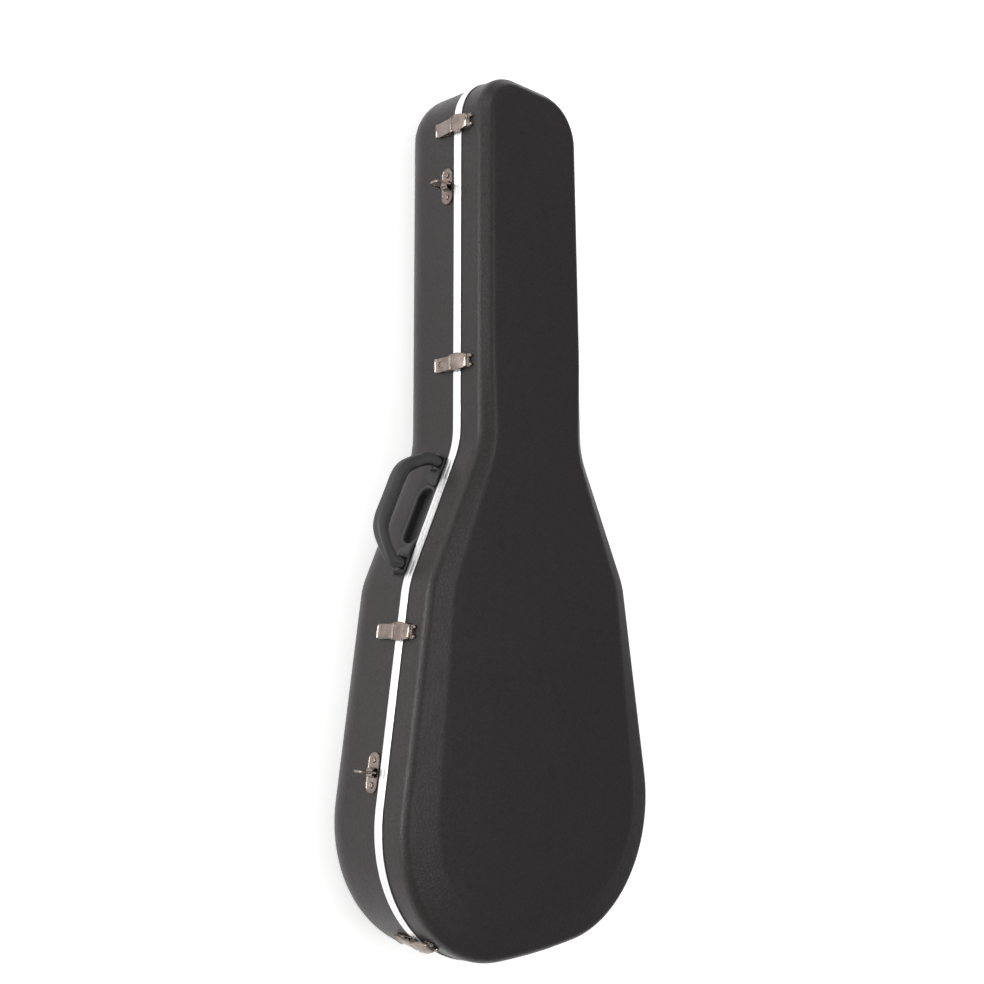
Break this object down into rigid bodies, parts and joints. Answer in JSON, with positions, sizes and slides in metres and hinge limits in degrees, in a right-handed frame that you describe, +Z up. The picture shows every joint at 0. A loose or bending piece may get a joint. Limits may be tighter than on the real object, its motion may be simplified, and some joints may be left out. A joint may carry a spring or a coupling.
{
  "type": "guitar case",
  "caption": "Hard-shell case for an acoustic guitar: deep padded base, hinged lid, metal edge strips, draw latches, folding handle and strap rings.",
  "frame": {"origin": "on the flat back of the case, midway along its length and on its centre line; the case lies on its back", "axes": "+X along the case towards the wide lower end, -X towards the narrow head end; -Y is the side with the handle and the latches, +Y the hinge side; +Z up, out of the lid"},
  "size_m": [1.0807, 0.4678, 0.158],
  "materials": {
    "shell_plastic": "charcoal moulded ABS with a fine pebbled leather grain, soft sheen",
    "handle_plastic": "smooth black moulded plastic, slightly glossier than the shells",
    "valance_metal": "satin drawn aluminium",
    "nickel_hardware": "nickel-plated pressed steel, softly polished",
    "plush_lining": "mid-grey short-pile plush over foam",
    "webbing": "black woven webbing"
  },
  "bodies": {
    "base": {"base_shell": "shell_plastic", "base_valance": "valance_metal", "base_liner": "plush_lining", "accessory_box": "plush_lining", "accessory_flap_hinge": "webbing", "neck_cradle": "plush_lining", "head_latch_backplate": "nickel_hardware", "head_latch_pin": "nickel_hardware", "neck_latch_backplate": "nickel_hardware", "neck_latch_pin": "nickel_hardware", "body_latch_backplate": "nickel_hardware", "body_latch_pin": "nickel_hardware", "end_latch_backplate": "nickel_hardware", "end_latch_pin": "nickel_hardware", "lower_hinge_base_leaf": "nickel_hardware", "lower_hinge_pin": "nickel_hardware", "middle_hinge_base_leaf": "nickel_hardware", "middle_hinge_pin": "nickel_hardware", "upper_hinge_base_leaf": "nickel_hardware", "upper_hinge_pin": "nickel_hardware", "upper_strap_bracket": "nickel_hardware", "upper_strap_rivet_a": "nickel_hardware", "upper_strap_rivet_b": "nickel_hardware", "lower_strap_bracket": "nickel_hardware", "lower_strap_rivet_a": "nickel_hardware", "lower_strap_rivet_b": "nickel_hardware", "handle_mount_head": "handle_plastic", "handle_pin_head": "nickel_hardware", "handle_mount_body": "handle_plastic", "handle_pin_body": "nickel_hardware"},
    "lid": {"lid_shell": "shell_plastic", "lid_valance": "valance_metal", "lid_liner": "plush_lining", "head_latch_keeper": "nickel_hardware", "neck_latch_keeper": "nickel_hardware", "body_latch_keeper": "nickel_hardware", "end_latch_keeper": "nickel_hardware", "lower_hinge_lid_leaf": "nickel_hardware", "middle_hinge_lid_leaf": "nickel_hardware", "upper_hinge_lid_leaf": "nickel_hardware"},
    "accessory_flap": {"accessory_flap": "plush_lining", "accessory_flap_tab": "webbing"},
    "head_latch_lever": {"head_latch_lever": "nickel_hardware"},
    "head_latch_hook": {"head_latch_hook": "nickel_hardware"},
    "neck_latch_lever": {"neck_latch_lever": "nickel_hardware"},
    "neck_latch_hook": {"neck_latch_hook": "nickel_hardware"},
    "lock_plug": {"neck_latch_lock_plug": "nickel_hardware"},
    "body_latch_lever": {"body_latch_lever": "nickel_hardware"},
    "body_latch_hook": {"body_latch_hook": "nickel_hardware"},
    "end_latch_lever": {"end_latch_lever": "nickel_hardware"},
    "end_latch_hook": {"end_latch_hook": "nickel_hardware"},
    "upper_strap_ring": {"upper_strap_ring": "nickel_hardware"},
    "lower_strap_ring": {"lower_strap_ring": "nickel_hardware"},
    "handle": {"handle": "handle_plastic"}
  },
  "joints": [
    {"name": "lid_hinge", "type": "hinge", "parent": "base", "child": "lid", "pos_m": [0.22388, 0.20611, 0.11], "axis": [-0.9872, -0.1595, 0], "range_deg": [0, 100]},
    {"name": "accessory_flap_hinge", "type": "hinge", "parent": "base", "child": "accessory_flap", "pos_m": [-0.136, 0, 0.0764], "axis": [0, -1, 0], "range_deg": [0, 100]},
    {"name": "head_latch_lever_turn", "type": "hinge", "parent": "base", "child": "head_latch_lever", "pos_m": [-0.47406, -0.09425, 0.1065], "axis": [-0.9999, 0.0128, 0], "range_deg": [0, 100]},
    {"name": "head_latch_hook_turn", "type": "hinge", "parent": "head_latch_lever", "child": "head_latch_hook", "pos_m": [-0.47404, -0.09325, 0.0995], "axis": [-0.9999, 0.0128, 0], "range_deg": [-100, 0]},
    {"name": "neck_latch_lever_turn", "type": "hinge", "parent": "base", "child": "neck_latch_lever", "pos_m": [-0.17306, -0.09811, 0.1065], "axis": [-0.9999, 0.0128, 0], "range_deg": [0, 100]},
    {"name": "neck_latch_hook_turn", "type": "hinge", "parent": "neck_latch_lever", "child": "neck_latch_hook", "pos_m": [-0.17304, -0.09712, 0.0995], "axis": [-0.9999, 0.0128, 0], "range_deg": [-100, 0]},
    {"name": "body_latch_lever_turn", "type": "hinge", "parent": "base", "child": "body_latch_lever", "pos_m": [0.1513, -0.19175, 0.1065], "axis": [-0.9872, 0.1595, 0], "range_deg": [0, 100]},
    {"name": "body_latch_hook_turn", "type": "hinge", "parent": "body_latch_lever", "child": "body_latch_hook", "pos_m": [0.15146, -0.19077, 0.0995], "axis": [-0.9872, 0.1595, 0], "range_deg": [-100, 0]},
    {"name": "end_latch_lever_turn", "type": "hinge", "parent": "base", "child": "end_latch_lever", "pos_m": [0.50448, -0.16117, 0.1065], "axis": [-0.6125, -0.7904, 0], "range_deg": [0, 100]},
    {"name": "end_latch_hook_turn", "type": "hinge", "parent": "end_latch_lever", "child": "end_latch_hook", "pos_m": [0.50369, -0.16056, 0.0995], "axis": [-0.6125, -0.7904, 0], "range_deg": [-100, 0]},
    {"name": "lock_plug_turn", "type": "hinge", "parent": "neck_latch_lever", "child": "lock_plug", "pos_m": [-0.17306, -0.09831, 0.087], "axis": [-0.0128, -0.9999, 0], "range_deg": [0, 90]},
    {"name": "upper_strap_ring_swing", "type": "hinge", "parent": "base", "child": "upper_strap_ring", "pos_m": [-0.39905, -0.09491, 0.092], "axis": [0, 0, 1], "range_deg": [-80, 80]},
    {"name": "lower_strap_ring_swing", "type": "hinge", "parent": "base", "child": "lower_strap_ring", "pos_m": [0.30835, -0.21682, 0.092], "axis": [0, 0, 1], "range_deg": [-80, 80]},
    {"name": "handle_swing", "type": "hinge", "parent": "base", "child": "handle", "pos_m": [0.01101, -0.14665, 0.095], "axis": [-0.8961, 0.4438, 0], "range_deg": [-58, 70]}
  ],
  "couplings": [
    {"joint": "head_latch_hook_turn", "follows": "head_latch_lever_turn", "ratio": -1},
    {"joint": "neck_latch_hook_turn", "follows": "neck_latch_lever_turn", "ratio": -1},
    {"joint": "body_latch_hook_turn", "follows": "body_latch_lever_turn", "ratio": -1},
    {"joint": "end_latch_hook_turn", "follows": "end_latch_lever_turn", "ratio": -1}
  ]
}
